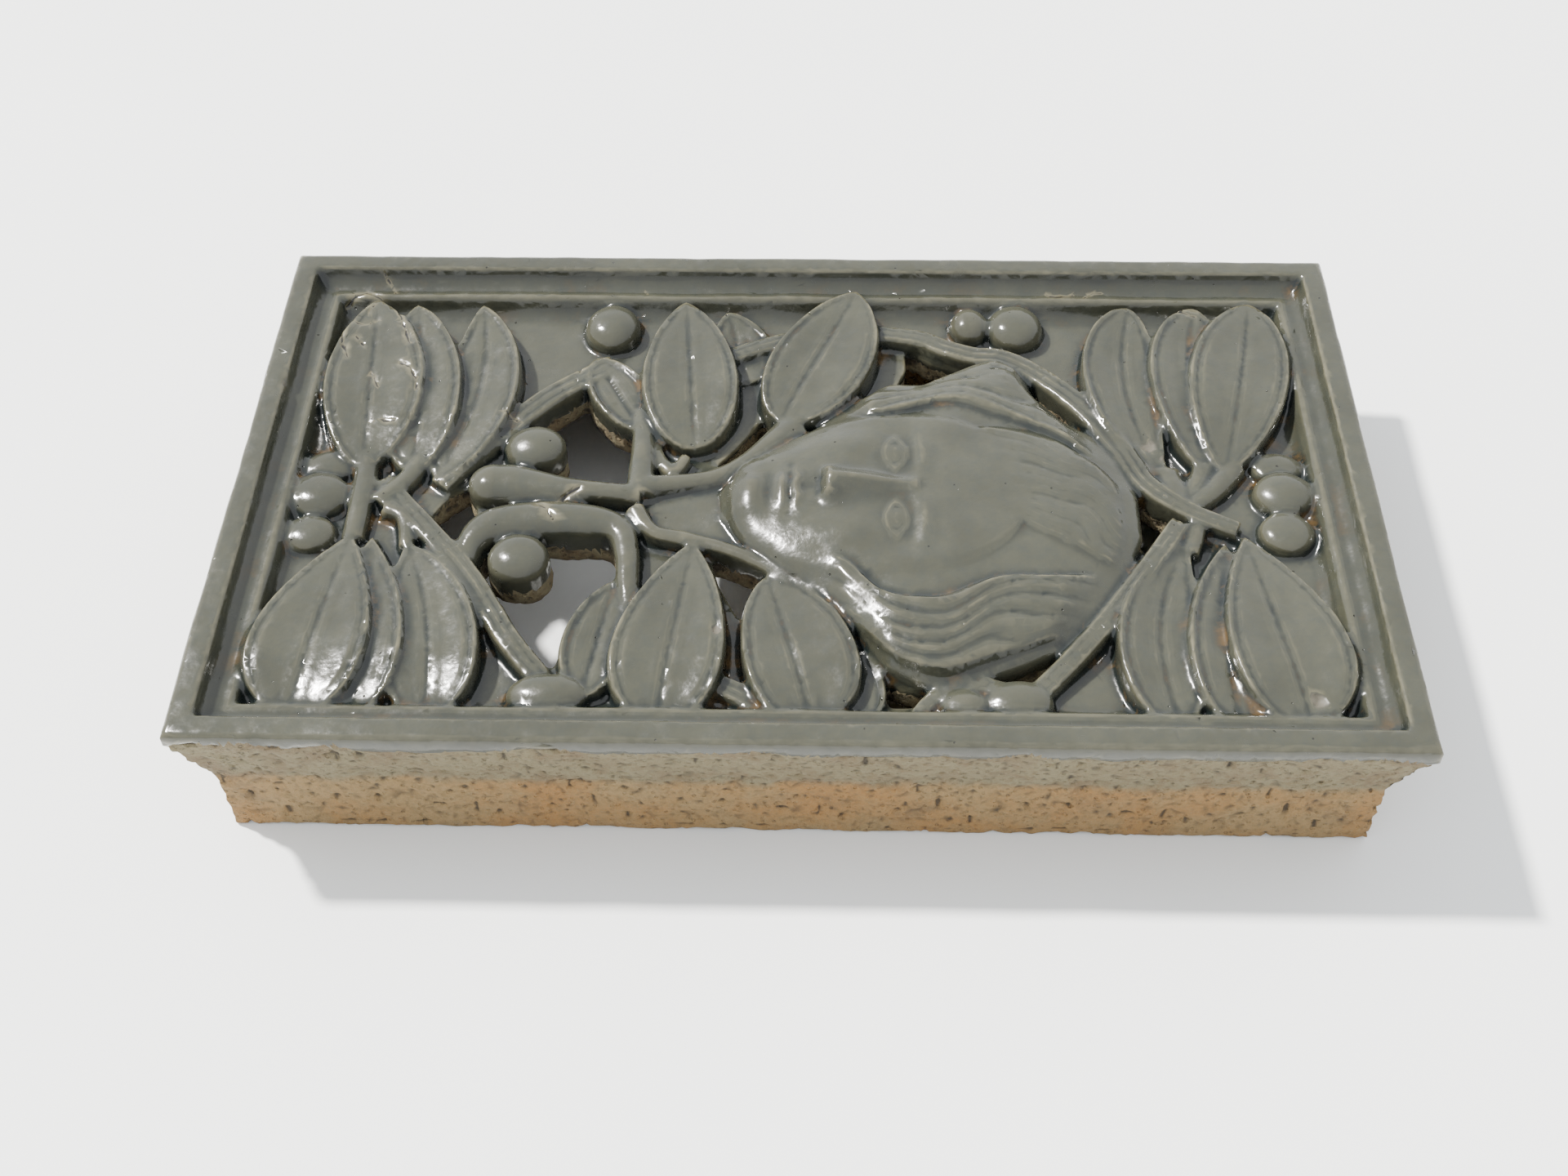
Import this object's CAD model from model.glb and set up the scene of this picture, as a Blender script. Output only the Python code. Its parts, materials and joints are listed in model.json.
"""Looks of a glazed ceramic ventilation tile: the pressed clay body with its relief, its glaze and its wear.

The relief is drawn in millimetres on the field inside the frame, as the tile is seen from above, and each
leaf, berry, band and lock is modelled as a closed body of its own. They are then fused into one casting, the
creases are softened as thick glaze softens them, the clay is roughened, chipped and cracked, and the result
stands for the tile in the render.
"""

from __future__ import annotations

import json
import logging
import math
from collections.abc import Callable
from dataclasses import dataclass, field
from enum import Enum

import bmesh
import bpy
import numpy as np
from mathutils import Matrix, Vector

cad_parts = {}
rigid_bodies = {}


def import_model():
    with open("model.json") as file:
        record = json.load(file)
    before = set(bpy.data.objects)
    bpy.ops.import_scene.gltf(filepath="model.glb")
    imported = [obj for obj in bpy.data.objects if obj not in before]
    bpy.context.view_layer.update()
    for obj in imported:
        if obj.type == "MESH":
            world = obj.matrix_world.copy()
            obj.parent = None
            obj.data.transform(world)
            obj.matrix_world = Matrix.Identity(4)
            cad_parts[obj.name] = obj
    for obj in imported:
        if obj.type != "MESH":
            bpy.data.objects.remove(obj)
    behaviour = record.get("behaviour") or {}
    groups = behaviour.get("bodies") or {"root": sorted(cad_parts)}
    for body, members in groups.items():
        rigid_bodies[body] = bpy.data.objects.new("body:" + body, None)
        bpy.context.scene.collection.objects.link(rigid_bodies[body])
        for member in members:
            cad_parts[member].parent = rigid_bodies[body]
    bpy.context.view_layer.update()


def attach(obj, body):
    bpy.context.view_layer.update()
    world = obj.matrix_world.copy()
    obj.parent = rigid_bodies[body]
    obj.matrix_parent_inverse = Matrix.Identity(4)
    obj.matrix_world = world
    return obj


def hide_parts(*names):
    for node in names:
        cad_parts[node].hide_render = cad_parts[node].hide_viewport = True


LOG = logging.getLogger("ventilation_tile")
MM = 0.001

Point = tuple[float, float]
Shape = Callable[[float, float], Vector]


class Section(Enum):
    """How a band is cut across."""

    RIBBED = "ribbed"
    ROUND = "round"


@dataclass(frozen=True)
class Sizes:
    """The sizes of the casting, in millimetres."""

    length: float = 380.0
    width: float = 222.0
    height: float = 60.0
    rim: float = 9.0
    cavetto_width: float = 5.8
    cavetto_depth: float = 6.6
    bead_width: float = 4.2
    bead_rise: float = 0.9
    bead_drop: float = 1.2
    cove: float = 5.5
    rim_ease: float = 0.7
    edge_band: float = 7.5
    edge_round: float = 2.4
    ledge_z: float = 27.0
    rear_inset: float = 8.0
    rear_wall: float = 14.0
    ground_depth: float = 13.0
    plate: float = 10.0
    drawn_length: float = 342.0
    drawn_width: float = 184.0

    @property
    def ground_z(self) -> float:
        """The level of the ground that the relief stands on."""
        return self.height - self.ground_depth

    @property
    def plate_z(self) -> float:
        """The level of the underside of the ground plate."""
        return self.ground_z - self.plate

    @property
    def field_inset(self) -> float:
        """How far in from the tile's edge the field inside the frame starts."""
        return self.rim + self.cavetto_width + self.bead_width

    @property
    def scale(self) -> Point:
        """What the drawn field is stretched by along and across."""
        return (
            (self.length - 2 * self.field_inset) / self.drawn_length,
            (self.width - 2 * self.field_inset) / self.drawn_width,
        )

    def place(self, x: float, y: float, rise: float) -> Vector:
        """A drawn point with its height over the ground.

        Args:
            x: Place along the field, in drawn millimetres.
            y: Place across the field, in drawn millimetres.
            rise: Height over the ground, in millimetres.

        Returns:
            The point on the tile, in metres.
        """
        return Vector((x * self.scale[0] * MM, y * self.scale[1] * MM, (self.ground_z + rise) * MM))


SIZES = Sizes()
FOOT_RISE = SIZES.plate_z + 1.2 - SIZES.ground_z
FOOT_CLEAR = 0.12
PLATE_LAP = 2.0
CUTTER_REACH = 5.0
LEAF_CELLS = (64, 44)
LIP_WIDTH = 1.5
LIP_DROP = 2.6
CREASE_DEPTH = 1.5
BERRY_SHOULDER = 0.3
BERRY_ARC_STEPS = 12
BERRY_SIDES = 40
BAND_STEP = 1.2
BAND_CELLS = 26
HEAD_CELLS = 190
HAIR_STEPS = 90
LANES_PER_STRAND = 8
EDGE_STEPS = 4
MOULDING_STEPS = 8
CAMERA_SENSOR = 36.0
FLOOR_HALF = 4.0


def bump(value: float, middle: float, spread: float) -> float:
    """A smooth rise of 1 at the middle that fades over its spread."""
    return math.exp(-(((value - middle) / spread) ** 2))


def smooth_step(value: float, low: float, high: float) -> float:
    """A smooth share from 0 at low to 1 at high."""
    share = min(1.0, max(0.0, (value - low) / (high - low)))
    return share * share * (3 - 2 * share)


def curve_through(points: list, wanted: int, closed: bool = False) -> list[tuple]:
    """Points on a smooth curve through hand-placed ones.

    Args:
        points: The hand-placed points, each a tuple of any number of values.
        wanted: How many points to return.
        closed: Whether the curve runs back to its start.

    Returns:
        The evenly counted points.
    """
    last = len(points)
    spans = last if closed else last - 1
    made = []
    for k in range(wanted):
        place = spans * k / (wanted if closed else wanted - 1)
        i = min(int(place), spans - 1)
        t = place - i
        near = [points[j % last] if closed else points[max(0, min(last - 1, j))]
                for j in range(i - 1, i + 3)]
        made.append(tuple(
            0.5 * (2 * b + (c - a) * t + (2 * a - 5 * b + 4 * c - d) * t * t
                   + (3 * b - a - 3 * c + d) * t ** 3)
            for a, b, c, d in zip(*near)))
    return made


def directions(path: list[tuple]) -> list[Point]:
    """The unit direction of a drawn path at each of its points."""
    found = []
    for i in range(len(path)):
        x0, y0 = path[max(0, i - 1)][:2]
        x1, y1 = path[min(len(path) - 1, i + 1)][:2]
        run = math.hypot(x1 - x0, y1 - y0) or 1.0
        found.append(((x1 - x0) / run, (y1 - y0) / run))
    return found


def block_from_grid(name: str, along: int, across: int, shape: Shape) -> bpy.types.Mesh:
    """A closed body: a grid laid on a shaped surface, and extruded down to a level foot.

    Args:
        name: The mesh's name.
        along: How many cells the grid has along.
        across: How many cells the grid has across.
        shape: Gives the point on the tile for the shares along (0 to 1) and across (-1 to 1).

    Returns:
        The new mesh.
    """
    bm = bmesh.new()
    bmesh.ops.create_grid(bm, x_segments=along, y_segments=across, size=1.0)
    for vert in bm.verts:
        vert.co = shape(min(1.0, max(0.0, 0.5 + 0.5 * vert.co.x)), min(1.0, max(-1.0, vert.co.y)))
    made = bmesh.ops.extrude_face_region(bm, geom=bm.faces[:])["geom"]
    foot_z = (SIZES.ground_z + FOOT_RISE) * MM
    for item in made:
        if isinstance(item, bmesh.types.BMVert):
            item.co.z = foot_z
    bmesh.ops.recalc_face_normals(bm, faces=bm.faces[:])
    return taken(bm, name)


def taken(bm: bmesh.types.BMesh, name: str) -> bpy.types.Mesh:
    """The new mesh of a finished bmesh, which is then freed."""
    mesh = bpy.data.meshes.new(name)
    bm.to_mesh(mesh)
    bm.free()
    return mesh


def baked(source: bpy.types.Object, name: str) -> bpy.types.Mesh:
    """The mesh of an object with its modifiers worked in."""
    graph = bpy.context.evaluated_depsgraph_get()
    mesh = bpy.data.meshes.new_from_object(source.evaluated_get(graph), depsgraph=graph)
    mesh.name = name
    return mesh


def linked(name: str, mesh: bpy.types.Mesh) -> bpy.types.Object:
    """A new object at the origin, in the scene."""
    made = bpy.data.objects.new(name, mesh)
    bpy.context.scene.collection.objects.link(made)
    return made


class Grain:
    """Seeded lattice noise for whole arrays of points."""

    def __init__(self, seed: int, cells: int = 32) -> None:
        """Fill the lattice.

        Args:
            seed: The seed of the lattice's values.
            cells: How many cells the lattice has each way before it repeats.
        """
        self.cells = cells
        self.values = np.random.default_rng(seed).uniform(-1.0, 1.0, (cells, cells, cells))

    def at(self, points: np.ndarray, size: float) -> np.ndarray:
        """The noise at each point.

        Args:
            points: The points, in metres.
            size: The size of one lump, in millimetres.

        Returns:
            Values between about -1 and 1.
        """
        place = points / (size * MM)
        low = np.floor(place).astype(np.int64)
        part = place - low
        part = part * part * (3 - 2 * part)
        total = np.zeros(len(points))
        for corner in range(8):
            step = np.array((corner & 1, corner >> 1 & 1, corner >> 2 & 1))
            index = (low + step) % self.cells
            weight = np.prod(np.where(step == 1, part, 1 - part), axis=1)
            total += weight * self.values[index[:, 0], index[:, 1], index[:, 2]]
        return total

    def layers(self, points: np.ndarray, size: float, count: int) -> np.ndarray:
        """Noise of several sizes, each half as large and half as strong as the last."""
        return sum(self.at(points + 0.37 * k, size / 2 ** k) / 2 ** k for k in range(count))


@dataclass(frozen=True)
class Leaf:
    """One leaf: its spine from base to tip, how far the spine bows, its halves, and its heights."""

    name: str
    base: Point
    tip: Point
    bow: float
    left: float
    right: float
    base_power: float
    tip_power: float
    base_rise: float
    belly_rise: float
    tip_rise: float
    roll: float = 0.0
    dish: float = 2.6
    rib: float = 0.7

    def mesh(self) -> bpy.types.Mesh:
        """The leaf's body: a dished blade with a raised lip, a crease inside it and a cut midrib."""
        (bx, by), (tx, ty) = self.base, self.tip
        chord = math.hypot(tx - bx, ty - by)
        nx, ny = -(ty - by) / chord, (tx - bx) / chord
        belly = self.base_power / (self.base_power + self.tip_power)
        fullest = belly ** self.base_power * (1 - belly) ** self.tip_power

        def spine(t: float) -> Point:
            """The drawn point on the leaf's bowed middle line."""
            out = 4 * self.bow * t * (1 - t)
            return bx + (tx - bx) * t + nx * out, by + (ty - by) * t + ny * out

        def shape(u: float, v: float) -> Vector:
            """The blade's upper side at its shares along and across."""
            t = 0.5 - 0.5 * math.cos(math.pi * (0.015 + 0.97 * u))
            share = t ** self.base_power * (1 - t) ** self.tip_power / fullest
            (x0, y0), (x1, y1) = spine(max(0.0, t - 0.01)), spine(min(1.0, t + 0.01))
            run = math.hypot(x1 - x0, y1 - y0)
            dx, dy = (x1 - x0) / run, (y1 - y0) / run
            if t < belly:
                part = math.sin(0.5 * math.pi * t / belly)
                lip = self.base_rise + (self.belly_rise - self.base_rise) * part
            else:
                part = math.sin(0.5 * math.pi * (1 - t) / (1 - belly))
                lip = self.tip_rise + (self.belly_rise - self.tip_rise) * part
            lane = math.copysign(abs(v) ** 0.8, v)
            half = (self.left if v < 0 else self.right) * share
            edge = half * (1 - abs(lane))
            rise = lip - self.dish * share * (1 - min(1.0, abs(lane) / 0.84) ** 2)
            rise -= CREASE_DEPTH * share * bump(edge, 3.1, 1.15)
            out = abs(lane * half)
            rise += self.rib * share * (0.6 * bump(out, 1.9, 0.9) - 1.1 * bump(out, 0.0, 0.8))
            rise -= LIP_DROP * max(0.0, 1 - edge / LIP_WIDTH) ** 2
            rise += self.roll * lane * half
            x, y = spine(t)
            return SIZES.place(x + dy * lane * half, y - dx * lane * half, rise)

        return block_from_grid(self.name, *LEAF_CELLS, shape)


@dataclass(frozen=True)
class Berry:
    """One berry: its middle, its half sizes and the height of its top."""

    name: str
    at: Point
    half_x: float
    half_y: float
    rise: float

    def mesh(self) -> bpy.types.Mesh:
        """The berry's body: a quarter oval spun round its middle, on an upright wall."""
        bm = bmesh.new()
        profile = [bm.verts.new((1.0, 0.0, 0.0)), bm.verts.new((1.0, 0.0, BERRY_SHOULDER))]
        for k in range(1, BERRY_ARC_STEPS + 1):
            angle = 0.5 * math.pi * k / BERRY_ARC_STEPS
            level = BERRY_SHOULDER + (1 - BERRY_SHOULDER) * math.sin(angle)
            profile.append(bm.verts.new((math.cos(angle), 0.0, level)))
        edges = [bm.edges.new(pair) for pair in zip(profile, profile[1:])]
        bmesh.ops.spin(bm, geom=profile + edges, cent=(0, 0, 0), axis=(0, 0, 1), angle=2 * math.pi,
                       steps=BERRY_SIDES, use_merge=True)
        bmesh.ops.remove_doubles(bm, verts=bm.verts[:], dist=1e-5)
        rim = [edge for edge in bm.edges if edge.is_boundary]
        bmesh.ops.contextual_create(bm, geom=rim)
        bmesh.ops.recalc_face_normals(bm, faces=bm.faces[:])
        for vert in bm.verts:
            level = FOOT_RISE if vert.co.z <= 0 else vert.co.z * self.rise
            x, y = self.at[0] + vert.co.x * self.half_x, self.at[1] + vert.co.y * self.half_y
            vert.co = SIZES.place(x, y, level)
        return taken(bm, self.name)


@dataclass(frozen=True)
class Band:
    """A stem or ribbed band: points of x, y, half width and height that it runs through."""

    name: str
    section: Section
    points: tuple[tuple[float, float, float, float], ...]

    def drop(self, v: float, half: float, rise: float) -> float:
        """How far the section lies under its crest at a share of the way across."""
        edge = half * (1 - abs(v))
        if self.section is Section.RIBBED:
            ribs = 0.5 - 0.5 * math.cos(3 * math.pi * (v + 1))
            return 0.9 * (1 - ribs) * min(1.0, edge / 0.8) + 1.8 * max(0.0, 1 - edge / 1.2) ** 2
        return min(half, rise) * (1 - math.sqrt(max(0.0, 1 - (0.97 * v) ** 2))) * 0.85

    def mesh(self) -> bpy.types.Mesh:
        """The band's body, swept along its drawn path."""
        run = sum(math.hypot(b[0] - a[0], b[1] - a[1]) for a, b in zip(self.points, self.points[1:]))
        steps = max(12, round(run / BAND_STEP))
        path = curve_through(list(self.points), steps + 1)
        ways = directions(path)

        def shape(u: float, v: float) -> Vector:
            """The band's upper side at its shares along and across."""
            k = min(steps, round(u * steps))
            x, y, half, rise = path[k]
            dx, dy = ways[k]
            return SIZES.place(x + dy * v * half, y - dx * v * half, rise - self.drop(v, half, rise))

        return block_from_grid(self.name, steps, BAND_CELLS, shape)


UPRIGHT = (0.62, 0.72)


@dataclass
class Foliage:
    """The leaves, berries, ring bands and stalks of the mistletoe."""

    leaves: tuple[Leaf, ...] = (
        Leaf("leaf_top_left_outer", (-150, 8), (-157.5, 90.5), 0, 16.5, 20, *UPRIGHT, 5, 10.5, 9),
        Leaf("leaf_top_left_middle", (-133, 6), (-142.5, 88), -2, 16, 15.5, *UPRIGHT, 4.5, 9.5, 9, 0.09),
        Leaf("leaf_top_left_inner", (-124.5, 4), (-118.5, 88), -6.5, 14, 15, *UPRIGHT, 4, 8.5, 9, 0.09),
        Leaf("leaf_top_small", (-56.5, 28), (-75.5, 64), 0, 9.5, 11, 0.6, 0.6, 5, 6.5, 5),
        Leaf("leaf_top_middle", (-37.5, 18), (-44, 91), 0, 17.5, 17.5, 0.5, 0.72, 6, 10.5, 9),
        Leaf("leaf_top_behind", (-21, 54), (-28.5, 89), 0, 11, 14, 0.5, 0.7, 2.5, 4, 6),
        Leaf("leaf_top_slanting", (-8.5, 31), (18.5, 95), 0, 16, 21, 0.5, 0.66, 7, 11, 10.5),
        Leaf("leaf_top_right_inner", (124, 4), (117.4, 89), 8, 15, 13, 0.9, 0.55, 4, 8.5, 9, -0.09),
        Leaf("leaf_top_right_middle", (137, 7), (141, 89), 4, 14.5, 14, 0.85, 0.55, 4.5, 9.5, 9, -0.09),
        Leaf("leaf_top_right_outer", (142.3, 8.5), (161, 91.5), -1, 18.5, 17, 0.75, 0.6, 5, 10.5, 9),
        Leaf("leaf_low_left_outer", (-148.5, -20), (-155, -95.5), 0, 19, 20, 1.0, 0.44, 5, 11, 6),
        Leaf("leaf_low_left_middle", (-142, -21), (-137, -95.5), 1.5, 14, 16, 0.95, 0.46, 4.5, 9, 5.5, -0.08),
        Leaf("leaf_low_left_inner", (-130.5, -24), (-114, -95.5), 4, 16.5, 15.5, 0.8, 0.42, 4.5, 9, 5.5,
             -0.05),
        Leaf("leaf_low_small", (-60, -39), (-67, -88), 0, 11.5, 11.5, 0.75, 0.6, 4, 6.5, 5),
        Leaf("leaf_low_middle", (-35.5, -24), (-43, -95.5), 0, 18, 18.5, 0.8, 0.36, 5.5, 11, 5.5),
        Leaf("leaf_low_right", (-11, -38), (4, -95.5), 0, 21, 16, 0.6, 0.34, 5, 9.5, 5.5),
        Leaf("leaf_low_flank", (13, -63), (17.5, -94), 0, 12, 12, 0.6, 0.36, 2, 3.5, 3),
        Leaf("leaf_low_right_inner", (127, -21.5), (116, -95.5), -8, 14, 14, 0.75, 0.42, 4.5, 8.5, 5.5, 0.08),
        Leaf("leaf_low_right_middle", (139, -20), (134, -95.5), -3, 15.5, 12.5, 0.9, 0.44, 4.5, 9, 5.5, 0.08),
        Leaf("leaf_low_right_outer", (145, -17.5), (155.5, -95.5), -1, 20.5, 18, 0.95, 0.44, 5, 11, 6),
    )
    berries: tuple[Berry, ...] = (
        Berry("berry_left", (-163.5, -3), 11, 10, 7.5),
        Berry("berry_left_low", (-163.5, -20), 9, 8, 5.5),
        Berry("berry_left_high", (-162.5, 11), 9.5, 7.5, 5),
        Berry("berry_opening_high", (-92, 19), 10.8, 9.8, 9.5),
        Berry("berry_opening_low", (-92.3, -31.8), 10.6, 10.2, 9.5),
        Berry("knob_end", (-104.5, 1.4), 9, 8.8, 9.8),
        Berry("berry_top", (-70.2, 80.5), 10.2, 11.2, 9.5),
        Berry("berry_low", (-77.5, -86.5), 13, 8, 8),
        Berry("berry_top_right_small", (59.5, 83), 7.2, 8.2, 8.5),
        Berry("berry_top_right", (76, 82), 10.3, 10.8, 9.5),
        Berry("berry_low_right_small", (51, -88.5), 8, 6.4, 6.5),
        Berry("berry_low_right", (67.5, -87), 11, 8, 7.5),
        Berry("berry_right", (161.5, 1), 10.5, 9.6, 8),
        Berry("berry_right_low", (160, -16), 9.6, 9, 6.5),
        Berry("berry_right_high", (161, 14), 9, 7.5, 5),
    )
    ribbed: tuple[tuple, ...] = (
        ("ring_top_left", ((-123.4, 2.2, 4.4, 3.8), (-107, 23, 4.8, 5.5), (-88, 45, 5, 6), (-68, 63, 5, 4))),
        ("ring_low_left", (
            (-143, 4, 4, 4.5), (-126, -16.5, 4.3, 6), (-107, -40.5, 4.4, 6.5), (-92, -65, 4.4, 6.5),
            (-80, -79.5, 4.2, 4))),
        ("ring_top", (
            (-34, 63, 4, 4), (-15, 71.5, 4.1, 5.5), (10, 78, 4.1, 6), (38, 76, 4.1, 6), (50, 70, 4.2, 6.5),
            (60, 66, 4.4, 6.5), (71, 64.5, 4.4, 6.5), (84, 55, 4.6, 6.5), (98, 38, 4.8, 7), (108, 20, 4.8, 7),
            (115.5, 4, 4.4, 6.5), (128, -8, 3.9, 6.5), (144, -16.5, 3.6, 6))),
        ("ring_low_right", ((125, -13, 3.8, 6), (110, -37, 3.8, 7), (92, -63, 3.9, 7), (70, -88, 3.9, 5))),
        ("ring_low_curl", ((36, -92, 3, 3), (42, -85, 3, 4.5), (53, -81, 3, 5.5), (70, -84.5, 3, 5.5))),
        ("ring_low", ((-32, -78, 4, 4.5), (-18, -85.5, 4.2, 5.5), (-6, -93, 4.2, 4))),
    )
    stalks: tuple[tuple, ...] = (
        ("stalk_knob", (
            (-54, -3.5, 4.2, 7.5), (-66, -2.5, 3.8, 8), (-81, -1.2, 5.4, 8.5), (-93, 0.8, 7.6, 9.5),
            (-101, 1.6, 8.8, 9.6), (-107, 1.4, 8.2, 8))),
        ("stalk_hook", (
            (-109, -36, 3, 4), (-109, -25.5, 5, 7), (-102.5, -17.5, 7, 8.8), (-87, -14.6, 7.5, 9.2),
            (-70, -15, 6.8, 8.6), (-60.5, -19, 5, 8), (-57, -29, 4.3, 7.5), (-55.8, -42, 4, 6.5),
            (-54, -55, 3, 5))),
        ("stalk_rising", ((-54.8, -4, 4.8, 8), (-55.2, 20, 4.2, 7), (-56.2, 38, 4, 5.5))),
        ("stalk_slanting", (
            (-56, 0, 4.6, 8), (-40, 2.6, 3.4, 7), (-29, 5, 3.6, 7), (-19, 11.5, 4.2, 7.5), (-10.5, 21, 5, 8),
            (-3, 31, 7.5, 7))),
        ("stalk_low", (
            (-56, -10, 3.6, 7.5), (-49, -20, 2.8, 7), (-38, -22.8, 3, 6.5), (-24, -27, 2.6, 6),
            (-10, -35, 2.6, 6), (4, -48, 2.4, 5))),
        ("stalk_left_fork", ((-150, 16, 4.4, 5.5), (-148.5, 1, 4.4, 6), (-148.5, -23, 4, 5.5))),
        ("stalk_left_cross", ((-131, 13, 4, 5.5), (-135, 3, 4, 6), (-143, -7, 4, 5.5))),
        ("stalk_left_loop", ((-140, -9, 3.4, 5.5), (-133, -13, 3, 5.5), (-130, -26, 3, 5))),
        ("stalk_right_fork", ((147, 14, 4.4, 5.5), (138, 2, 4, 6), (127, -7, 3.6, 5.5))),
        ("stalk_right_cross", ((123, 12, 6, 5), (124.5, 3, 5, 6), (128, -6, 4, 5.5))),
        ("stalk_right_loop", ((136, 14, 3.6, 5), (132, 4, 3.4, 5.5), (128, -6, 3.2, 5))),
        ("stalk_right_low", ((131, -10, 3.4, 5), (130, -17, 3.4, 5.5), (127, -26, 3.2, 5))),
        ("curl_top", ((-52, 26, 2, 4), (-48.5, 14, 2.6, 5), (-44, 9, 2.6, 5), (-40, 16, 2.4, 5))),
        ("neck", ((-57, -6, 8, 2), (-42, -7, 13, 2.5), (-26, -7, 22, 3.5), (-14, -7, 26, 3.5))),
    )

    def meshes(self) -> list[bpy.types.Mesh]:
        """The bodies of everything that grows on the tile."""
        bands = [Band(name, Section.RIBBED, points) for name, points in self.ribbed]
        bands += [Band(name, Section.ROUND, points) for name, points in self.stalks]
        made = [piece.mesh() for piece in (*self.leaves, *self.berries, *bands)]
        LOG.info("foliage: %d leaves, %d berries, %d bands", len(self.leaves), len(self.berries), len(bands))
        return made


@dataclass(frozen=True)
class HairSheet:
    """A sheet of hair between guide curves, combed into locks that run along them."""

    name: str
    guides: tuple[tuple[Point, ...], ...]
    strands: int
    locks: int
    lift: float
    ridge: float


@dataclass(frozen=True)
class Swell:
    """A smooth rise of the face, alike on both sides: its height, and its place and spread each way."""

    rise: float
    along: float
    along_spread: float
    across: float
    across_spread: float

    def at(self, u: float, side: float) -> float:
        """The rise at a share along the face and a share out from its middle."""
        along, across = (bump(u, self.along, self.along_spread), bump(side, self.across, self.across_spread))
        return self.rise * along * across


SWELLS = {
    "eye hollow": Swell(-2.6, 0.605, 0.07, 0.4, 0.27),
    "eyeball": Swell(3.0, 0.6, 0.042, 0.4, 0.17),
    "nose wing": Swell(2.0, 0.362, 0.026, 0.14, 0.052),
    "nostril": Swell(-1.1, 0.331, 0.012, 0.075, 0.035),
    "lip groove": Swell(-0.4, 0.3, 0.03, 0, 0.03),
    "lower lip": Swell(2.2, 0.196, 0.022, 0, 0.19),
    "mouth corner": Swell(-0.7, 0.228, 0.02, 0.3, 0.04),
    "chin hollow": Swell(-0.8, 0.145, 0.024, 0, 0.22),
    "chin": Swell(2.4, 0.075, 0.055, 0, 0.24),
    "cheek": Swell(1.5, 0.43, 0.13, 0.52, 0.2),
}
EYE_ACROSS = 0.4
EYE_HALF = 0.19


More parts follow.
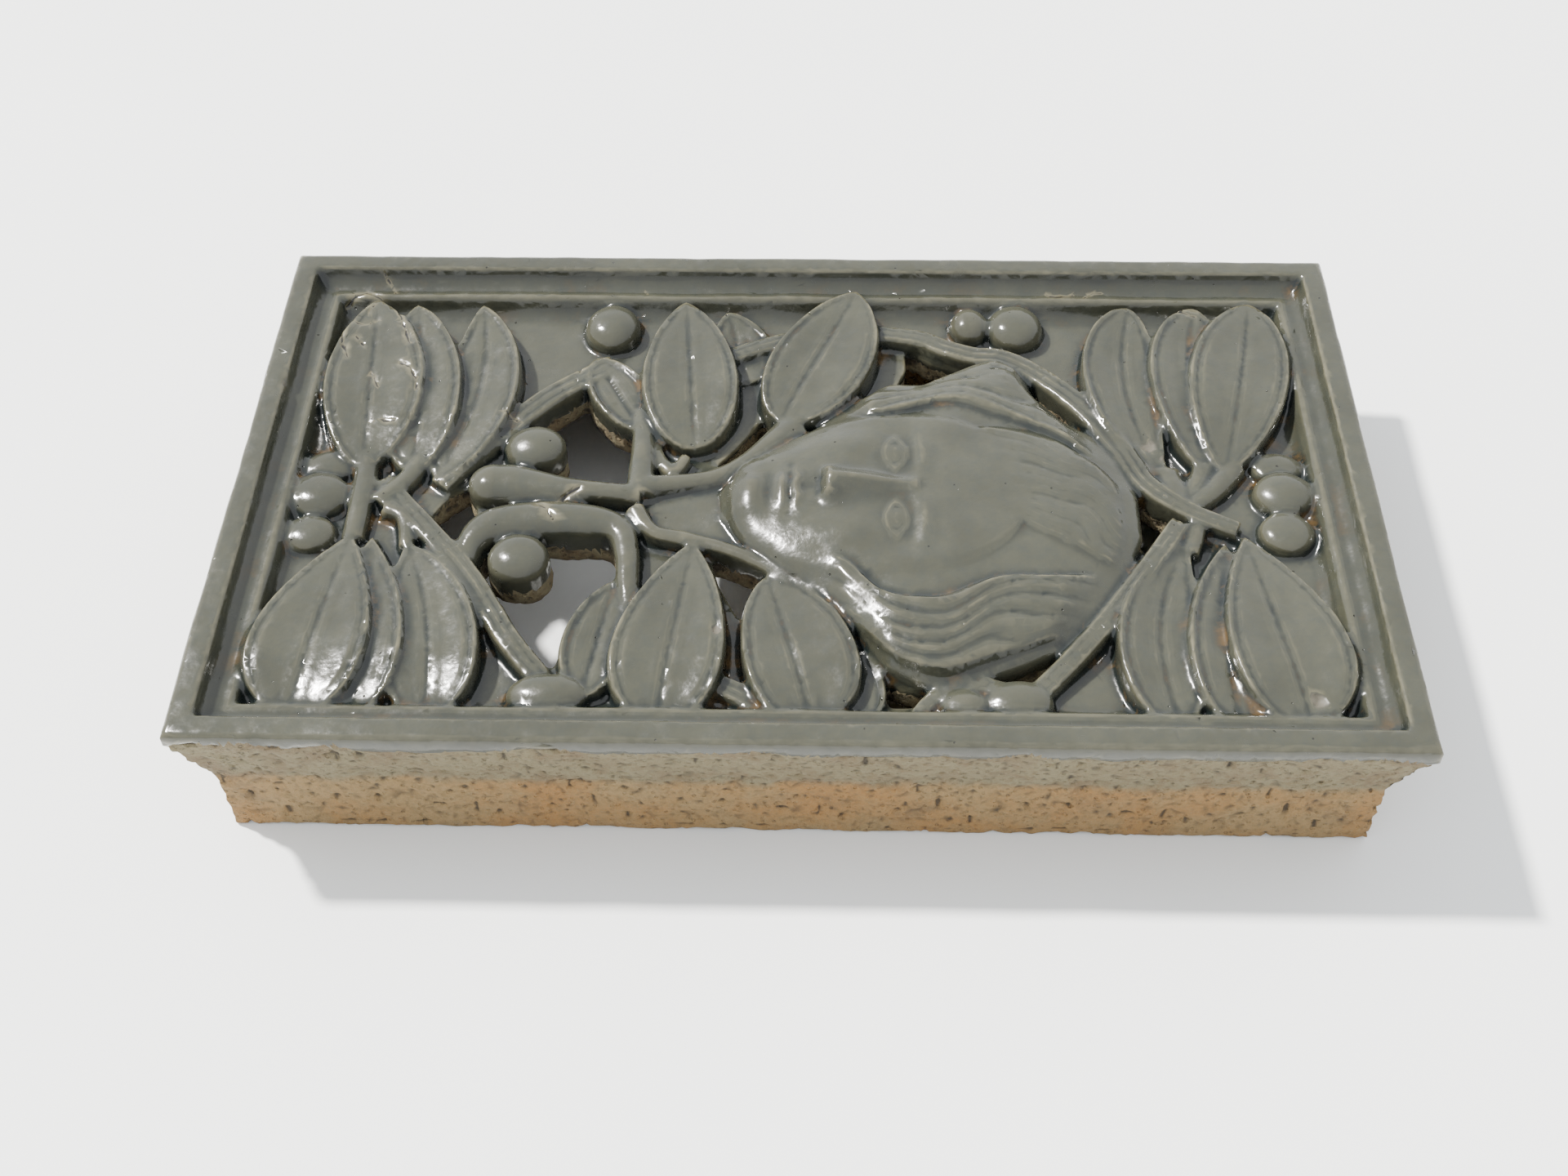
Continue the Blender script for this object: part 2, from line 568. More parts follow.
@dataclass
class Mask:
    """The mask: a low dome over the hair's outline, a plain face of drawing-book proportions, and hair."""

    middle: Point = (38.0, -8.0)
    outline: tuple[Point, ...] = (
        (-28, -2), (-23, 9), (-8, 19), (6, 31), (19, 44), (30, 49), (42, 49), (54, 56), (68, 63.5), (77, 59),
        (81, 46), (90, 34), (101, 26), (109, 13), (113, -3), (112.5, -20), (106, -37), (95, -55), (81, -68.5),
        (66, -76), (52, -82), (37, -82), (27, -76), (19, -63), (8, -51), (-8, -37), (-20, -24), (-27, -13),
    )
    edge_rise: float = 3.0
    crown_rise: float = 14.0
    chin_x: float = -25.0
    hairline_x: float = 68.0
    face_y: float = -7.0
    face_half: float = 37.0
    sheets: tuple[HairSheet, ...] = (
        HairSheet("hair_crown", (
            ((54, 22), (68, 24), (84, 20), (98, 10), (108, -4)),
            ((57, 8), (70, 9), (86, 4), (99, -6), (109, -16)),
            ((62, -6), (74, -9), (88, -14), (99, -22), (108, -28)),
            ((60, -12), (66, -20), (78, -27), (92, -33), (104, -38)),
        ), 11, 3, 0.5, 0.45),
        HairSheet("hair_upper", (
            ((16, 31), (30, 29), (48, 34), (66, 28), (84, 21), (104, 6)),
            ((14, 34), (28, 33), (46, 39), (62, 37), (80, 31), (100, 20)),
            ((15, 39), (28, 39), (42, 43), (56, 48), (72, 46), (88, 33)),
            ((20, 45), (31, 48.5), (43, 48.5), (55, 56), (68, 62), (79, 50)),
        ), 14, 4, 1.3, 1.1),
        HairSheet("hair_lower", (
            ((2, -34), (13, -36), (27, -50), (44, -52), (62, -44), (82, -42), (102, -38)),
            ((4, -41), (16, -46), (30, -60), (46, -62), (62, -54), (80, -50), (98, -48)),
            ((6, -48), (17, -55), (30, -69), (46, -72), (62, -64), (78, -59), (92, -56)),
            ((10, -54), (20, -64), (32, -77), (46, -80.5), (61, -75), (74, -69), (85, -63)),
        ), 16, 5, 1.3, 1.3),
    )

    def reach(self, x: float, y: float) -> float:
        """How far out a drawn point lies on the head: 0 in the middle, 1 on the outline."""
        mx, my = self.middle
        run = math.hypot(x - mx, y - my)
        return run / self.radius(math.atan2(y - my, x - mx)) if run > 0 else 0.0

    def radius(self, turn: float) -> float:
        """How far the head's outline lies from its middle, in the direction of an angle."""
        mx, my = self.middle
        cos, sin = math.cos(turn), math.sin(turn)
        for (ax, ay), (bx, by) in zip(self.outline, self.outline[1:] + self.outline[:1]):
            ex, ey = bx - ax, by - ay
            cross = cos * ey - sin * ex
            if abs(cross) < 1e-9:
                continue
            along = ((ax - mx) * sin - (ay - my) * cos) / cross
            out = ((ax - mx) * ey - (ay - my) * ex) / cross
            if 0 <= along <= 1 and out > 0:
                return out
        return 1.0

    def dome(self, share: float) -> float:
        """The height of the head at a share of the way out to its outline."""
        return self.edge_rise + (self.crown_rise - self.edge_rise) * math.sqrt(max(0.0, 1 - share ** 2.4))

    def features(self, u: float, v: float) -> float:
        """The face's relief over the dome, a calm one on the plain thirds of the drawing books.

        Args:
            u: The share of the way from the chin at 0 to the hairline at 1.
            v: The share of the way across, -1 to 1, five eye widths in all.

        Returns:
            The height over the dome, in millimetres.
        """
        side = abs(v)
        relief = sum(swell.at(u, side) for swell in SWELLS.values())
        lid = (side - EYE_ACROSS) / EYE_HALF
        eye = math.hypot(lid, (u - 0.6) / (0.036 * (1 - 0.5 * min(1.0, abs(lid)) ** 2)))
        relief += 0.8 * bump(eye, 1.05, 0.2) - 0.35 * bump(eye, 0.72, 0.14)
        relief -= 0.45 * bump(math.hypot((side - EYE_ACROSS) * 37, (u - 0.602) * 93), 0.0, 1.1)
        relief += 1.3 * bump(u, 0.695 - 0.05 * (side - 0.36) ** 2, 0.028) * bump(side, 0.42, 0.3)
        if u < 0.68:
            along = smooth_step(0.68 - u, 0.0, 0.32)
            foot = smooth_step(u, 0.325, 0.362)
            relief += (1.4 + 4.6 * along) * foot * bump(v, 0, 0.085 + 0.055 * along)
        bow = 0.006 * math.cos(min(side, 0.25) * 25)
        relief += 1.9 * bump(u, 0.247 - bow, 0.017) * bump(v, 0, 0.22)
        relief -= 1.3 * bump(u, 0.224 + 0.01 * bump(side, 0.26, 0.08), 0.0075) * bump(v, 0, 0.25)
        return relief

    def height(self, x: float, y: float) -> float:
        """The height of the head with its face at a drawn point."""
        rise = self.dome(min(1.0, self.reach(x, y)))
        u = (x - self.chin_x) / (self.hairline_x - self.chin_x)
        if -0.05 < u < 1.15:
            wide = self.face_half * math.sqrt(max(0.0, 1 - abs(2 * u - 1.08) ** 2.6 / 1.2))
            v = (y - self.face_y) / self.face_half
            if wide > 1:
                rim = abs(y - self.face_y) / wide
                rise += self.features(u, v) * (1 - smooth_step(rim, 0.75, 1.0)) * smooth_step(u, -0.05, 0.03)
                rise += 1.2 * (1 - smooth_step(rim, 0.86, 1.02))
        return rise

    def head_mesh(self) -> bpy.types.Mesh:
        """The head's body: a square grid drawn out to the outline, and extruded down."""
        mx, my = self.middle

        def shape(u: float, v: float) -> Vector:
            """The head's upper side, with the square of the grid drawn out to the outline."""
            a, b = 2 * u - 1, v
            x, y = a * math.sqrt(1 - 0.5 * b * b), b * math.sqrt(1 - 0.5 * a * a)
            share = math.hypot(x, y)
            turn = math.atan2(y, x)
            out = share * self.radius(turn)
            px, py = mx + out * math.cos(turn), my + out * math.sin(turn)
            return SIZES.place(px, py, self.height(px, py))

        return block_from_grid("head", HEAD_CELLS, HEAD_CELLS, shape)

    def hair_mesh(self, sheet: HairSheet) -> bpy.types.Mesh:
        """A sheet of hair over the dome, its locks and strands ridged, its borders sunk into the head."""
        along = HAIR_STEPS
        combed = [curve_through(list(guide), along + 1) for guide in sheet.guides]
        across = sheet.strands * LANES_PER_STRAND

        def shape(u: float, v: float) -> Vector:
            """The hair's upper side at its shares along and across."""
            k = min(along, round(u * along))
            w = 0.5 + 0.5 * v
            here = curve_through([guide[k] for guide in combed], across + 1)
            x, y = here[min(across, round(w * across))]
            sway = 0.3 * math.sin(8.0 * u + 5.0 * w) + 0.12 * math.sin(19.0 * u + 3.0 * w)
            lock = (w * sheet.locks + sway) % 1.0
            strand = (w * sheet.strands + 0.5 * sway * sheet.strands / sheet.locks) % 1.0
            ridge = sheet.ridge * (1 - abs(2 * lock - 1) ** 2.6) + 0.5 * (1 - (2 * strand - 1) ** 2)
            border = min(1.0, 9 * min(w, 1 - w) + 0.15, 7 * min(u, 1 - u))
            level = self.dome(min(0.99, self.reach(x, y))) + (sheet.lift + ridge) * border
            return SIZES.place(x, y, level - 1.8 * (1 - border))

        return block_from_grid(sheet.name, along, across, shape)

    def meshes(self) -> list[bpy.types.Mesh]:
        """The bodies of the head and its hair."""
        made = [self.head_mesh()] + [self.hair_mesh(sheet) for sheet in self.sheets]
        LOG.info("mask: head with %d sheets of hair", len(self.sheets))
        return made


@dataclass
class Body:
    """The moulded frame, the rear wall and the pierced ground plate."""

    sizes: Sizes = SIZES
    openings: tuple[tuple[Point, ...], ...] = (
        ((-78, 55), (-98, 31), (-101, 20), (-96, 8), (-78, 3), (-58, 1), (-58, 27), (-64, 34), (-72, 43)),
        ((-104, -40), (-98, -52), (-84, -72), (-77, -73), (-74, -60), (-68, -50), (-58, -40), (-58, -22),
         (-66, -15), (-86, -15), (-98, -18), (-105, -30)),
        ((-114, 3), (-110.5, -4), (-109, -14), (-113, -24), (-119, -17), (-124, -9), (-120, -2)),
        ((-30, -26), (-11, -35.5), (-15, -46), (-18, -55), (-26, -40)),
        ((20, -69), (28, -78), (34, -81.5), (43, -83.5), (40, -88), (33, -91), (27, -91), (26, -82)),
        ((54, -79), (67, -73), (82, -68), (72, -84), (62, -84)),
        ((111, 8), (111, -22), (116, -23), (126, -13), (120, -5), (115, 3)),
        ((77.5, 56), (78.5, 44), (82, 34.5), (90, 31), (95, 38), (88, 49)),
        ((36, 74), (45, 67), (58, 61), (52, 53), (38, 47), (29, 47.5), (33.5, 56), (36.5, 64)),
        ((-14, 38), (-10, 28), (-15, 18), (-24, 9), (-35, 5), (-28, 17), (-22, 25)),
    )

    def section(self) -> list[Point]:
        """The frame's section, as insets from the tile's edge and levels, from the rear edge round."""
        s = self.sizes
        bead = s.rim + s.cavetto_width
        wall = s.rear_inset + s.rear_wall
        points = [(s.rear_inset, 0.0), (s.rear_inset, s.ledge_z), (0.5, s.height - s.edge_band),
                  (0.0, s.height - s.edge_band + 0.8), (0.0, s.height - s.edge_round)]
        for k in range(1, EDGE_STEPS + 1):
            angle = 0.5 * math.pi * k / EDGE_STEPS
            points.append((s.edge_round * (1 - math.cos(angle)),
                           s.height - s.edge_round * (1 - math.sin(angle))))
        points += [(s.rim - s.rim_ease, s.height), (s.rim, s.height - s.rim_ease)]
        for k in range(1, MOULDING_STEPS + 1):
            angle = 0.5 * math.pi * k / MOULDING_STEPS
            points.append((s.rim + s.cavetto_width * (1 - math.cos(angle)),
                           s.height - s.rim_ease - (s.cavetto_depth - s.rim_ease) * math.sin(angle)))
        cavetto_z = s.height - s.cavetto_depth
        for k in range(1, MOULDING_STEPS):
            share = k / MOULDING_STEPS
            swell = s.bead_rise * math.sin(math.pi * share) - s.bead_drop * share ** 2
            points.append((bead + s.bead_width * share, cavetto_z + swell))
        cove_z = cavetto_z - s.bead_drop
        for k in range(1, MOULDING_STEPS + 1):
            angle = 0.5 * math.pi * k / MOULDING_STEPS
            points.append((s.field_inset + s.cove * (1 - math.cos(angle)),
                           cove_z - (cove_z - s.ground_z) * math.sin(angle)))
        points += [(s.field_inset + s.cove, s.ground_z - 2), (wall, s.plate_z + 2), (wall, 0.0)]
        return points

    def frame_mesh(self) -> bpy.types.Mesh:
        """The section set at the four corners and bridged round the four sides."""
        bm = bmesh.new()
        section = self.section()
        half_x, half_y = self.sizes.length / 2, self.sizes.width / 2
        rings = []
        for sx, sy in ((1, 1), (-1, 1), (-1, -1), (1, -1)):
            ring = [bm.verts.new((sx * (half_x - inset) * MM, sy * (half_y - inset) * MM, z * MM))
                    for inset, z in section]
            rings.append([bm.edges.new(pair) for pair in zip(ring, ring[1:] + ring[:1])])
        for one, two in zip(rings, rings[1:] + rings[:1]):
            bmesh.ops.bridge_loops(bm, edges=one + two)
        bmesh.ops.recalc_face_normals(bm, faces=bm.faces[:])
        return taken(bm, "frame")

    def plate_mesh(self) -> bpy.types.Mesh:
        """The ground plate, with its vents cut through."""
        reach = self.sizes.rear_inset + self.sizes.rear_wall - PLATE_LAP
        span = (self.sizes.length - 2 * reach, self.sizes.width - 2 * reach, self.sizes.plate)
        bm = bmesh.new()
        bmesh.ops.create_cube(bm, size=1.0)
        bmesh.ops.scale(bm, vec=[size * MM for size in span], verts=bm.verts[:])
        middle_z = (self.sizes.ground_z - self.sizes.plate / 2) * MM
        bmesh.ops.translate(bm, vec=(0, 0, middle_z), verts=bm.verts[:])
        plate = linked("plate", taken(bm, "plate"))
        cutters = bpy.data.collections.new("vents")
        bpy.context.scene.collection.children.link(cutters)
        for index, outline in enumerate(self.openings):
            bm = bmesh.new()
            rim = [bm.verts.new(SIZES.place(x, y, -self.sizes.plate - CUTTER_REACH)) for x, y in outline]
            face = bm.faces.new(rim)
            made = bmesh.ops.extrude_face_region(bm, geom=[face])["geom"]
            lift = (self.sizes.plate + 2 * CUTTER_REACH) * MM
            lifted = [item for item in made if isinstance(item, bmesh.types.BMVert)]
            bmesh.ops.translate(bm, vec=(0, 0, lift), verts=lifted)
            bmesh.ops.recalc_face_normals(bm, faces=bm.faces[:])
            name = f"vent_{index}"
            cutters.objects.link(bpy.data.objects.new(name, taken(bm, name)))
        cut = plate.modifiers.new("vents", "BOOLEAN")
        cut.operation = "DIFFERENCE"
        cut.operand_type = "COLLECTION"
        cut.collection = cutters
        cut.solver = "MANIFOLD"
        pierced = baked(plate, "pierced plate")
        for cutter in list(cutters.objects):
            bpy.data.objects.remove(cutter, do_unlink=True)
        bpy.data.collections.remove(cutters)
        bpy.data.objects.remove(plate, do_unlink=True)
        return pierced

    def meshes(self) -> list[bpy.types.Mesh]:
        """The bodies of the frame and the plate."""
        LOG.info("body: frame, rear wall and a plate with %d vents", len(self.openings))
        return [self.frame_mesh(), self.plate_mesh()]


@dataclass(frozen=True)
class Crack:
    """A crack along drawn points."""

    points: tuple[Point, ...]
    half: float = 0.55
    depth: float = 1.1


@dataclass(frozen=True)
class Chip:
    """A broken or crumbled spot: where it is on the tile, its size and its depth, in millimetres."""

    at: tuple[float, float, float]
    size: float
    depth: float


@dataclass
class Wear:
    """What firing, use and dirt have done to the tile."""

    cracks: tuple[Crack, ...] = (
        Crack(((-170, 91), (-166, 94), (-163, 96), (-158, 93), (-154, 90)), 0.45, 0.9),
        Crack(((-154, 90), (-149, 84), (-145, 74), (-142, 66)), 0.35, 0.7),
        Crack(((-158, 88), (-160, 84), (-159, 80)), 0.35, 0.8),
        Crack(((-167, 70), (-166, 65), (-163, 59)), 0.4, 0.8),
        Crack(((-162, 70), (-159, 66)), 0.35, 0.7),
        Crack(((-144, 56), (-140, 53), (-137, 48), (-136, 42)), 0.45, 0.9),
        Crack(((-151, 28), (-147, 29), (-142, 28)), 0.3, 0.6),
        Crack(((-154, 52), (-152, 48), (-150, 44)), 0.35, 0.7),
        Crack(((-165, 78), (-160, 76), (-155, 79)), 0.3, 0.5),
        Crack(((-80, 63), (-81, 59), (-80, 56)), 0.4, 0.9),
        Crack(((-105, 33), (-102, 32), (-98, 30)), 0.4, 0.9),
        Crack(((-75, -3), (-79, -6), (-83, -9)), 0.5, 1.2),
        Crack(((-88, -10), (-85, -13), (-82, -18)), 0.5, 1.2),
        Crack(((133, 86), (137, 86.5), (141, 85)), 0.35, 0.7),
        Crack(((-157, 102), (-154, 99), (-152, 96)), 0.3, 0.6),
        Crack(((-60, 98), (-57, 94)), 0.3, 0.6),
        Crack(((88, 97), (93, 96), (98, 97)), 0.3, 0.5),
        Crack(((102, 96), (105, 98), (109, 98)), 0.3, 0.5),
    )
    chips: tuple[Chip, ...] = (
        Chip((-177, 40, 60), 4.5, 0.8),
        Chip((-180, 41, 60), 2.4, 0.8),
        Chip((-26, -65, 55), 2.2, 1.4),
        Chip((158, -88, 53), 3.0, 1.3),
        Chip((118, 22, 50), 3.2, 0.9),
        Chip((114, 27, 50), 2.4, 0.8),
        Chip((123, 17, 50), 2.4, 0.8),
        Chip((-130, 100, 58), 1.8, 0.6),
        Chip((188, -92, 56), 3.0, 0.8),
        Chip((-188, -70, 58), 2.4, 0.6),
    )

    @staticmethod
    def distance(points: np.ndarray, line: tuple[Point, ...]) -> np.ndarray:
        """How far each point lies from a drawn line, seen from above, in millimetres."""
        sx, sy = SIZES.scale
        flat = points[:, :2] / MM
        nearest = np.full(len(points), 1e9)
        for (ax, ay), (bx, by) in zip(line, line[1:]):
            a = np.array((ax * sx, ay * sy))
            run = np.array((bx * sx, by * sy)) - a
            t = np.clip(((flat - a) @ run) / (run @ run), 0, 1)
            nearest = np.minimum(nearest, np.linalg.norm(flat - a - t[:, None] * run, axis=1))
        return nearest


@dataclass
class Casting:
    """The tile's one mesh, held as arrays while it is fused, softened and weathered."""

    voxel: float = 0.8
    triangles: int = 196000
    co: np.ndarray = field(default_factory=lambda: np.zeros((0, 3)))
    edges: np.ndarray = field(default_factory=lambda: np.zeros((0, 2), dtype=np.int64))

    def fuse(self, meshes: list[bpy.types.Mesh]) -> bpy.types.Mesh:
        """Join the bodies into one closed skin.

        Args:
            meshes: The closed bodies, overlapping where they grow together.

        Returns:
            The skin.
        """
        bm = bmesh.new()
        for mesh in meshes:
            bm.from_mesh(mesh)
        lump = linked("lump", taken(bm, "raw"))
        skin = lump.modifiers.new("fuse", "REMESH")
        skin.mode = "VOXEL"
        skin.voxel_size = self.voxel * MM
        skin.adaptivity = 0.0
        fused = baked(lump, "fused")
        bpy.data.objects.remove(lump, do_unlink=True)
        for mesh in meshes:
            bpy.data.meshes.remove(mesh)
        self.co = np.empty(len(fused.vertices) * 3)
        fused.vertices.foreach_get("co", self.co)
        self.co = self.co.reshape(-1, 3)
        self.edges = np.empty(len(fused.edges) * 2, dtype=np.int32)
        fused.edges.foreach_get("vertices", self.edges)
        self.edges = self.edges.reshape(-1, 2)
        LOG.info("casting: %d points, %d edges", len(self.co), len(self.edges))
        return fused

    def around(self, values: np.ndarray) -> np.ndarray:
        """The mean of the neighbours' values at each point, for values of one or more columns."""
        a, b = self.edges[:, 0], self.edges[:, 1]
        count = len(values)
        near = np.maximum(1, np.bincount(a, minlength=count) + np.bincount(b, minlength=count))
        table = values.reshape(count, -1)
        mean = np.empty(table.shape)
        for k in range(table.shape[1]):
            column = table[:, k]
            mean[:, k] = (np.bincount(a, column[b], count) + np.bincount(b, column[a], count)) / near
        return mean.reshape(values.shape)

    def normals(self, mesh: bpy.types.Mesh) -> np.ndarray:
        """The mesh's normals with the points where they now are."""
        mesh.vertices.foreach_set("co", self.co.ravel())
        mesh.update()
        found = np.empty(len(self.co) * 3)
        mesh.vertices.foreach_get("normal", found)
        return found.reshape(-1, 3)

    def soften(self, rounds: int, share: np.ndarray, fill: float) -> None:
        """Draw the surface smooth, as glaze does, filling creases more than it wears crests.

        Args:
            rounds: How many times to smooth.
            share: How strongly each point takes part, 0 to 1.
            fill: How much less a crest gives way than a crease, 0 to 1.
        """
        for _ in range(rounds):
            step = self.around(self.co) - self.co
            crest = (step[:, 2] < 0)[:, None]
            self.co = self.co + step * 0.5 * share[:, None] * np.where(crest, fill, 1.0)

    def hollow(self, mesh: bpy.types.Mesh, rounds: int) -> np.ndarray:
        """How far each point lies in a hollow (above 0) or on a crest (below 0), in millimetres."""
        smooth = self.co.copy()
        for _ in range(rounds):
            smooth = smooth + 0.5 * (self.around(smooth) - smooth)
        return np.einsum("ij,ij->i", smooth - self.co, self.normals(mesh)) / MM


@dataclass
class Tile:
    """The whole visual tile."""

    body: Body = field(default_factory=Body)
    foliage: Foliage = field(default_factory=Foliage)
    mask: Mask = field(default_factory=Mask)
    wear: Wear = field(default_factory=Wear)
    casting: Casting = field(default_factory=Casting)

    def inset(self) -> np.ndarray:
        """How far in from the tile's edge each point lies, in millimetres."""
        x, y = np.abs(self.casting.co[:, :2] / MM).T
        return np.minimum(SIZES.length / 2 - x, SIZES.width / 2 - y)

    def bare_clay(self, normals: np.ndarray, grain: Grain) -> np.ndarray:
        """How bare each point is: 0 where glazed, 1 on raw clay."""
        co = self.casting.co
        z = co[:, 2] / MM
        outer = self.inset()
        ragged = 2.2 * grain.layers(co, 14.0, 3)
        low_edge = SIZES.height - SIZES.edge_band + 1.0 + ragged
        outside = (outer < SIZES.rear_inset + 1.5) & (z < low_edge)
        vent_edge = SIZES.ground_z - 2.5 + 1.5 * grain.layers(co, 7.0, 2)
        inside = (outer >= SIZES.rear_inset + 1.5) & (z < vent_edge)
        under = (outer > SIZES.field_inset) & (z < SIZES.ground_z - 1.0) & (normals[:, 2] < -0.2)
        bare = (outside | inside | under).astype(float)
        for _ in range(2):
            bare = 0.5 * bare + 0.5 * self.casting.around(bare)
        return bare

    def roughen(self, mesh: bpy.types.Mesh) -> dict[str, np.ndarray]:
        """Weather the fused skin and read off how hollow, bare and cracked it is.

        Args:
            mesh: The fused skin.

        Returns:
            The named values of each point, for the finishes.
        """
        cast = self.casting
        grain = Grain(7)
        fine = Grain(23)
        normals = cast.normals(mesh)
        bare = self.bare_clay(normals, grain)
        glazed = 1 - bare
        cast.soften(3, glazed, 0.55)
        cast.soften(1, bare, 1.0)
        normals = cast.normals(mesh)
        push = glazed * (0.3 * grain.at(cast.co, 24.0) + 0.16 * fine.at(cast.co, 8.0) - 0.3)
        lumps, grit = np.abs(grain.layers(cast.co, 9.0, 4)), np.abs(fine.layers(cast.co, 2.6, 2))
        pits = np.clip(fine.at(cast.co, 3.4) - 0.52, 0, 1)
        push -= bare * (0.75 * lumps + 0.5 * grit + 3.2 * pits)
        z = cast.co[:, 2] / MM
        broken = bare * np.clip((z - SIZES.ledge_z + 1) / 5, 0, 1) * (self.inset() < SIZES.rear_inset + 2)
        push -= broken * np.clip(1.1 * np.abs(grain.layers(cast.co + 0.5, 16.0, 3)), 0, 2.0)
        crack = np.zeros(len(cast.co))
        over = z > SIZES.ground_z + 2
        for line in self.wear.cracks:
            away = self.wear.distance(cast.co, line.points)
            away = away + 0.35 * fine.at(cast.co, 2.0)
            deep = np.exp(-np.clip(away / line.half, 0, 9) ** 2) * over
            crack = np.maximum(crack, deep)
            push -= deep * line.depth
        chipped = np.zeros(len(cast.co))
        for chip in self.wear.chips:
            away = np.linalg.norm(cast.co / MM - np.array(chip.at), axis=1) + 1.2 * fine.at(cast.co, 2.6)
            spot = 1 - np.clip((away / chip.size - 0.6) / 0.4, 0, 1)
            chipped = np.maximum(chipped, spot)
            push -= spot * chip.depth * (0.7 + 0.5 * fine.at(cast.co, 1.7))
        cast.co = cast.co + normals * (push * MM)[:, None]
        foot = cast.co[:, 2] < 3.0 * MM
        cast.co[foot, 2] += np.clip(0.9 * fine.layers(cast.co[foot], 11.0, 3), 0, 1.6) * MM
        half = np.array((SIZES.length, SIZES.width)) / 2 * MM
        cast.co[:, :2] = np.clip(cast.co[:, :2], -half, half)
        cast.co[:, 2] = np.maximum(cast.co[:, 2], FOOT_CLEAR * MM)
        near = np.clip(cast.hollow(mesh, 4) / 0.25, -1, 1)
        wide = np.clip(cast.hollow(mesh, 30) / 1.6, -1, 1)
        LOG.info("wear: %d cracks, %d chips", len(self.wear.cracks), len(self.wear.chips))
        return {"near_hollow": near, "wide_hollow": wide, "bare": bare, "crack": crack, "chipped": chipped}

    def thin(self, mesh: bpy.types.Mesh, keep: np.ndarray) -> bpy.types.Object:
        """Take out the triangles that flat stretches don't need.

        Args:
            mesh: The dense skin.
            keep: How much each point is to be kept, 0 to 1.

        Returns:
            The finished piece's object.
        """
        mesh.vertices.foreach_set("co", (self.casting.co / MM).ravel())
        dense = linked("dense_tile", mesh)
        group = dense.vertex_groups.new(name="keep")
        levels = np.round(keep * 10).astype(int)
        for level in range(11):
            group.add(np.nonzero(levels == level)[0].tolist(), level / 10, "REPLACE")
        thinner = dense.modifiers.new("thin", "DECIMATE")
        thinner.ratio = min(1.0, self.casting.triangles / (2 * len(mesh.polygons)))
        thinner.vertex_group = "keep"
        thinner.invert_vertex_group = True
        thinner.vertex_group_factor = 0.5
        thinner.use_collapse_triangulate = True
        finished = baked(dense, "glazed_tile")
        bpy.data.objects.remove(dense, do_unlink=True)
        bpy.data.meshes.remove(mesh)
        finished.transform(Matrix.Scale(MM, 4))
        made = linked("glazed_tile", finished)
        made.vertex_groups.clear()
        return made

    def build(self) -> bpy.types.Object:
        """Model, fuse, weather and thin the tile, and have it stand for its node."""
        meshes = self.body.meshes() + self.foliage.meshes() + self.mask.meshes()
        fused = self.casting.fuse(meshes)
        values = self.roughen(fused)
        for name, column in values.items():
            layer = fused.attributes.new(name, "FLOAT", "POINT")
            layer.data.foreach_set("value", column.astype(np.float32))
        keep = np.where(values["bare"] > 0.5, 0.5, 0.9)
        keep = np.where(self.casting.co[:, 2] < SIZES.plate_z * MM, 0.3, keep)
        tile = self.thin(fused, keep)
        tile.data.shade_smooth()
        LOG.info("glazed_tile: %d triangles", len(tile.data.polygons))
        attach(tile, "root")
        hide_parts("ventilation_tile")
        return tile


